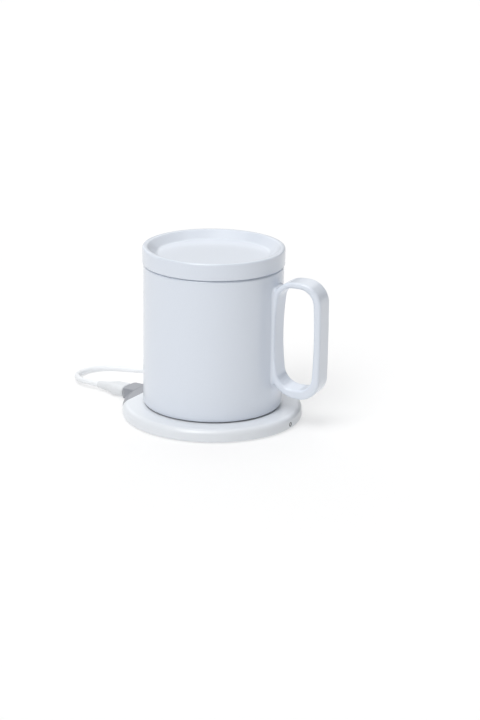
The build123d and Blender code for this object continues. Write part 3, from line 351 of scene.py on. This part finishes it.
def circuit_board():
    """Green solder mask over copper tracks: the tracks stand out a little and look paler."""
    board = Finish("solder_mask", Coat_Weight=0.3, Coat_Roughness=0.2)
    winding = board.bands(spacing=0.0016, axis="Y", distortion=3.0)
    track = board.rise(winding, start=0.55, end=0.62)
    cloud = board.noise(size=0.004, detail=3.0)
    mask = board.blend(cloud, (0.006, 0.075, 0.028), (0.010, 0.095, 0.036))
    colour = board.blend(track, mask, (0.022, 0.16, 0.06))
    raised = board.relief(track, depth=0.00003)
    skin = board.relief(board.noise(size=0.0004), depth=0.000004, under=raised)
    return board.done(colour, board.between(cloud, 0.30, 0.40), skin)


def litz():
    """A bundle of enamelled strands: fine ridges along the turns, twisted a little."""
    wire = Finish("litz", Metallic=0.85)
    strands = wire.circles(spacing=0.00022, distortion=1.2)
    colour = wire.blend(strands, (0.34, 0.11, 0.045), (0.66, 0.28, 0.13))
    enamel = wire.between(wire.noise(size=0.002, detail=3.0), 0.28, 0.42)
    return wire.done(colour, enamel, wire.relief(strands, depth=0.00006))


def ferrite():
    """Sintered ferrite: nearly black, with pores and paler grains."""
    sinter = Finish("ferrite")
    grains = sinter.noise(size=0.0006, detail=4.0)
    colour = sinter.blend(grains, (0.026, 0.026, 0.029), (0.075, 0.075, 0.08))
    roughness = sinter.between(sinter.noise(size=0.003), 0.45, 0.62)
    return sinter.done(colour, roughness, sinter.relief(sinter.cells(size=0.0005), depth=0.00002))


def heater_film():
    """Amber film with its etched heating track in close rings."""
    film = Finish("heater_film", Coat_Weight=0.4, Coat_Roughness=0.15)
    track = film.rise(film.circles(spacing=0.0024), start=0.35, end=0.45)
    amber = film.blend(film.noise(size=0.005, detail=3.0), (0.34, 0.13, 0.018), (0.46, 0.20, 0.03))
    colour = film.blend(track, amber, (0.20, 0.085, 0.03))
    return film.done(colour, film.between(track, 0.28, 0.36), film.relief(track, depth=0.00003))


def foam():
    """Cream foam, with small cells between raised walls."""
    sponge = Finish("foam")
    walls = sponge.cells(size=0.0009)
    colour = sponge.blend(walls, (0.74, 0.72, 0.66), (0.60, 0.58, 0.52))
    roughness = sponge.between(sponge.noise(size=0.003), 0.82, 0.95)
    return sponge.done(colour, roughness, sponge.relief(walls, depth=0.0002))


def woven_tie():
    """Grey loop fabric: a plain weave under a fuzz of fine loops."""
    thread = 0.0007
    cloth = Finish("tie_grey", Sheen_Weight=0.35, Sheen_Roughness=0.4)
    weave = cloth.math("MULTIPLY", cloth.bands(thread, axis="Z"), cloth.bands(thread, axis="Y"))
    fuzz = cloth.noise(size=0.0003, detail=4.0)
    colour = cloth.blend(fuzz, (0.26, 0.27, 0.29), (0.42, 0.43, 0.45))
    loops = cloth.relief(fuzz, depth=0.0002, under=cloth.relief(weave, depth=0.0002))
    return cloth.done(colour, cloth.between(fuzz, 0.8, 0.98), loops)


def smoked_lens():
    """A milky grey light guide."""
    lens = Finish("smoked_lens", Subsurface_Weight=0.2, Subsurface_Scale=0.001, Coat_Weight=0.3)
    cloud = lens.noise(size=0.0008)
    colour = lens.blend(cloud, (0.66, 0.67, 0.69), (0.74, 0.75, 0.77))
    return lens.done(colour, lens.between(cloud, 0.2, 0.26), lens.relief(cloud, depth=0.000006))


def paper():
    """The floor's pale paper, which glows a little, so that the shadows on it stay faint."""
    sheet = Finish("floor_paper", Emission_Color=(1, 1, 1, 1), Emission_Strength=0.46)
    fibres = sheet.noise(size=0.004, detail=4.0)
    colour = sheet.blend(fibres, (0.50, 0.50, 0.50), (0.51, 0.51, 0.51))
    return sheet.done(colour, sheet.between(fibres, 0.88, 0.95), sheet.relief(fibres, depth=0.000005))


finish_of = {
    "mug_ceramic": glazed(),
    "white_pad": moulded(
        "moulded_white", (0.80, 0.83, 0.87), roughness=0.36, Coat_Weight=0.4, Coat_Roughness=0.15
    ),
    "grey_bezel": moulded(
        "moulded_grey",
        (0.305, 0.318, 0.353),
        roughness=0.42,
        depth=0.000012,
        Coat_Weight=0.5,
        Coat_Roughness=0.15,
    ),
    "foot_silicone": rubbery("foot_silicone", (0.50, 0.51, 0.52), roughness=0.62),
    "screw_steel": drawn_metal("plated_screw", (0.52, 0.53, 0.54), roughness=0.40),
    "light_lens": smoked_lens(),
    "socket_steel": drawn_metal("nickel", (0.70, 0.70, 0.71), roughness=0.38),
    "black_plastic": moulded("black_plastic", (0.02, 0.02, 0.022), roughness=0.45, grain=0.0003),
    "board_green": circuit_board(),
    "ferrite": ferrite(),
    "capacitor_tan": moulded("capacitor", (0.38, 0.26, 0.15), roughness=0.5, grain=0.0003),
    "copper": litz(),
    "heater_film": heater_film(),
    "insulation": foam(),
    "seal_silicone": rubbery("seal_silicone", (0.55, 0.56, 0.58), roughness=0.5),
    "cord_white": moulded("cord_white", (0.87, 0.89, 0.91), roughness=0.44, grain=0.0005),
    "tie_grey": woven_tie(),
    "insert_white": moulded("insert_white", (0.70, 0.70, 0.70), roughness=0.4, grain=0.0003),
    "contact_gold": drawn_metal("contact_gold", (0.80, 0.55, 0.20), roughness=0.38),
}

# the plugs' mouldings are a shade greyer than the lead between them
plug_white = moulded("plug_white", (0.763, 0.782, 0.802), roughness=0.42, grain=0.0005)
PLUG_PIECES = ("usb_c_moulding", "usb_c_relief", "usb_a_moulding", "usb_a_relief")

slot_of = {row["node"]: row["material_slot"] for row in frame["record"]["subparts"]}
for name, node in frame["nodes"].items():
    node.data.materials.clear()
    node.data.materials.append(plug_white if name in PLUG_PIECES else finish_of[slot_of[name]])

# ---------------------------------------------------------------- black ring round the indicator light, painted shade of the gap about the lens
SHADE_RING_RADIUS = 0.00112  # of the middle of its section
SHADE_RING_SECTION = 0.00026  # radius of its section
SHADE_RING_INSET = 0.0001  # how far the middle of its section lies inside the wall
SHADE_RING_STEPS = 48
SHADE_RING_SECTION_STEPS = 12


def ring_about_x(name, centre, radius, section_radius):
    """A round ring whose axis runs along X."""
    sections = []
    for turn in range(SHADE_RING_STEPS):
        around = 2 * pi * turn / SHADE_RING_STEPS
        section = []
        for step in range(SHADE_RING_SECTION_STEPS):
            across = 2 * pi * step / SHADE_RING_SECTION_STEPS
            out = section_radius * sin(across)
            reach = radius + section_radius * cos(across)
            offset = (out, reach * cos(around), reach * sin(around))
            section.append([middle + part for middle, part in zip(centre, offset)])
        sections.append(section)
    return skinned(name, sections, closed=True)


pad_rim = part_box("pad_top_shell")[1].x
light_low, light_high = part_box("light_guide")
shade_ring_centre = (pad_rim - SHADE_RING_INSET, 0, (light_low.z + light_high.z) / 2)
# a black ring, put there as painted shade of the gap round the light guide
shade_ring = ring_about_x("light_shade_ring", shade_ring_centre, SHADE_RING_RADIUS, SHADE_RING_SECTION)
shade_ring.data.materials.append(finish_of["black_plastic"])
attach(shade_ring, "pad")

# ---------------------------------------------------------------- floor
FLOOR_HALF = 40.0


def square_floor():
    """A square floor about the origin."""
    signs = ((-1, -1), (1, -1), (1, 1), (-1, 1))
    mesh = bpy.data.meshes.new("floor")
    mesh.from_pydata([(x * FLOOR_HALF, y * FLOOR_HALF, 0) for x, y in signs], [], [(0, 1, 2, 3)])
    mesh.materials.append(paper())
    return placed("floor", mesh)


floor = square_floor()

# ---------------------------------------------------------------- lead
CORD_DIAMETER = 0.0035
CORD_ROUTE = (
    (-0.0810, 0.0, 0.0040),
    (-0.0924, 0.0, 0.0040),
    (-0.1021, 0.0061, 0.0031),
    (-0.1070, 0.0163, 0.0022),
    (-0.1057, 0.0277, 0.00175),
    (-0.0986, 0.0366, 0.00175),
    (-0.0790, 0.0434, 0.00175),
    (-0.0459, 0.0541, 0.00175),
    (-0.0203, 0.0617, 0.00175),
)
TAIL_ROUTE = (
    (-0.0345, 0.1012, 0.01225),
    (-0.0435, 0.1019, 0.0116),
    (-0.0520, 0.1013, 0.0076),
    (-0.0605, 0.1013, 0.0040),
    (-0.0695, 0.1013, 0.0040),
)
COIL_CENTRE = (-0.0265, 0.0820)
COIL_RADIUS = 0.01775  # of the middle of its turns
COIL_LAYERS = 4
COIL_START = 287.0  # bearing in degrees at which the lead joins the coil
COIL_TURNS = 7 + 163 / 360  # which end at a bearing of 90 degrees
TURNS_PER_LAYER = 2
POINTS_PER_TURN = 16
CLIMB = 1 / 6  # of a turn, at the end of each layer, over which the lead climbs to the next
TIE_BEARING = 1.0  # in degrees
TIE_REACH = 34.0  # how far from the tie, in degrees, the turns start to close up
TIE_NARROWS = 0.17  # how much narrower the bundle is in the tie
TIE_LOWERS = 0.13  # how much lower
CORD_BEVEL_RESOLUTION = 8  # which gives its section 20 sides
CORD_STEPS = 6  # along it, from one point to the next


def coil_point(turns):
    """A point of the wound lead, after a number of turns from its start."""
    layer, along = divmod(turns, TURNS_PER_LAYER)
    # the first layer winds inward, the next one outward, and so on
    outermost = CORD_DIAMETER * TURNS_PER_LAYER / 2
    inward = CORD_DIAMETER * along
    offset = outermost - inward if layer % 2 == 0 else inward - outermost
    # each layer ends in a climb to the next
    climbed = eased((along - (TURNS_PER_LAYER - CLIMB)) / CLIMB)
    middle = CORD_DIAMETER * COIL_LAYERS / 2
    lift = CORD_DIAMETER * (0.5 + layer + climbed) - middle
    # the turns close up towards the middle of the bundle near the tie
    bearing = COIL_START + 360 * turns
    from_tie = abs((bearing - TIE_BEARING + 180) % 360 - 180)
    grip = 0.5 + 0.5 * cos(pi * min(1.0, from_tie / TIE_REACH))
    radius = COIL_RADIUS + offset * (1 - TIE_NARROWS * grip)
    height = middle + lift * (1 - TIE_LOWERS * grip)
    turn = radians(bearing)
    return (COIL_CENTRE[0] + radius * cos(turn), COIL_CENTRE[1] + radius * sin(turn), height)


def coil_points():
    """The coil's points after its start, where the route from the plug ends."""
    steps = int(COIL_TURNS * POINTS_PER_TURN)
    return [coil_point(step * COIL_TURNS / steps) for step in range(1, steps + 1)]


def round_lead(name, points):
    """The lead as one smooth curve, with these as its control points."""
    curve = bpy.data.curves.new(name, "CURVE")
    curve.dimensions = "3D"
    curve.bevel_depth = CORD_DIAMETER / 2
    curve.bevel_resolution = CORD_BEVEL_RESOLUTION
    curve.resolution_u = CORD_STEPS
    curve.use_fill_caps = True
    spline = curve.splines.new("NURBS")
    spline.points.add(len(points) - 1)
    for point, place in zip(spline.points, points):
        point.co = (*place, 1)
    # set before the points are added, the order would stay at 2, which is straight runs
    spline.order_u = 3
    spline.use_endpoint_u = True
    curve.materials.append(finish_of["cord_white"])
    return placed(name, curve)


lead = round_lead("lead", [*CORD_ROUTE, *coil_points(), *TAIL_ROUTE])
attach(lead, "usb_lead")
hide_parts("usb_cord", "cord_coil", "cord_tail")

# ---------------------------------------------------------------- tie round the coil
TIE_WIDTH = 0.0068
TIE_THICKNESS = 0.0005
TIE_SLACK = 0.0001  # between the strap and the turns
TIE_STEPS = 120
TIE_CROSS_STEPS = 8
TIE_EDGE_SHARE = 0.35  # of its thickness that the strap loses at its two edges
TIE_START = radians(70)  # direction, in the bundle's section, in which the strap starts
TIE_OVERLAP = radians(105)  # how far its end lies over its start
TIE_LAP_RUN = radians(35)  # over which the end climbs on to the start


def turns_in_tie():
    """Where the turns pass through the tie, as distances from the coil's axis and heights."""
    first_pass = ((TIE_BEARING - COIL_START) % 360) / 360
    points = [coil_point(first_pass + turn) for turn in range(int(COIL_TURNS - first_pass) + 1)]
    return [(hypot(x - COIL_CENTRE[0], y - COIL_CENTRE[1]), z) for x, y, z in points]


def in_tie(radius, across, height):
    """A point this far out from the coil's axis, this far across the strap, and this high."""
    outward = Vector((cos(radians(TIE_BEARING)), sin(radians(TIE_BEARING)), 0))
    along = Vector((-outward.y, outward.x, 0))
    return Vector((*COIL_CENTRE, height)) + outward * radius + along * across


def strap_thickness(share):
    """How thick the strap is at a share of its width: a little thinner at its edges."""
    return TIE_THICKNESS * (1 - TIE_EDGE_SHARE * abs(2 * share - 1) ** 4)


def strap_section(swept, turns):
    """The strap's section where it has swept an angle: along its inside, and back along its outside."""
    direction = (cos(TIE_START + swept), sin(TIE_START + swept))
    # the strap lies on the turn that stands out farthest in this direction
    touched = max(turns, key=lambda turn: turn[0] * direction[0] + turn[1] * direction[1])
    lift = TIE_THICKNESS * eased((swept - 2 * pi + TIE_LAP_RUN) / TIE_LAP_RUN)
    inside = CORD_DIAMETER / 2 + TIE_SLACK + lift
    shares = [cross / TIE_CROSS_STEPS for cross in range(TIE_CROSS_STEPS + 1)]
    depths = [(share, inside) for share in shares]
    depths += [(share, inside + strap_thickness(share)) for share in reversed(shares)]
    section = []
    for share, depth in depths:
        radius = touched[0] + direction[0] * depth
        height = touched[1] + direction[1] * depth
        section.append(in_tie(radius, (share - 0.5) * TIE_WIDTH, height))
    return section


def strap_round_turns(name):
    """A flat strap pulled tight round the turns, with its end lying over its start."""
    turns = turns_in_tie()
    whole = 2 * pi + TIE_OVERLAP
    sections = [strap_section(whole * step / TIE_STEPS, turns) for step in range(TIE_STEPS + 1)]
    return skinned(name, sections, closed=False)


tie_strap = strap_round_turns("tie_strap")
tie_strap.data.materials.append(finish_of["tie_grey"])
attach(tie_strap, "usb_lead")
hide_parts("cord_tie")
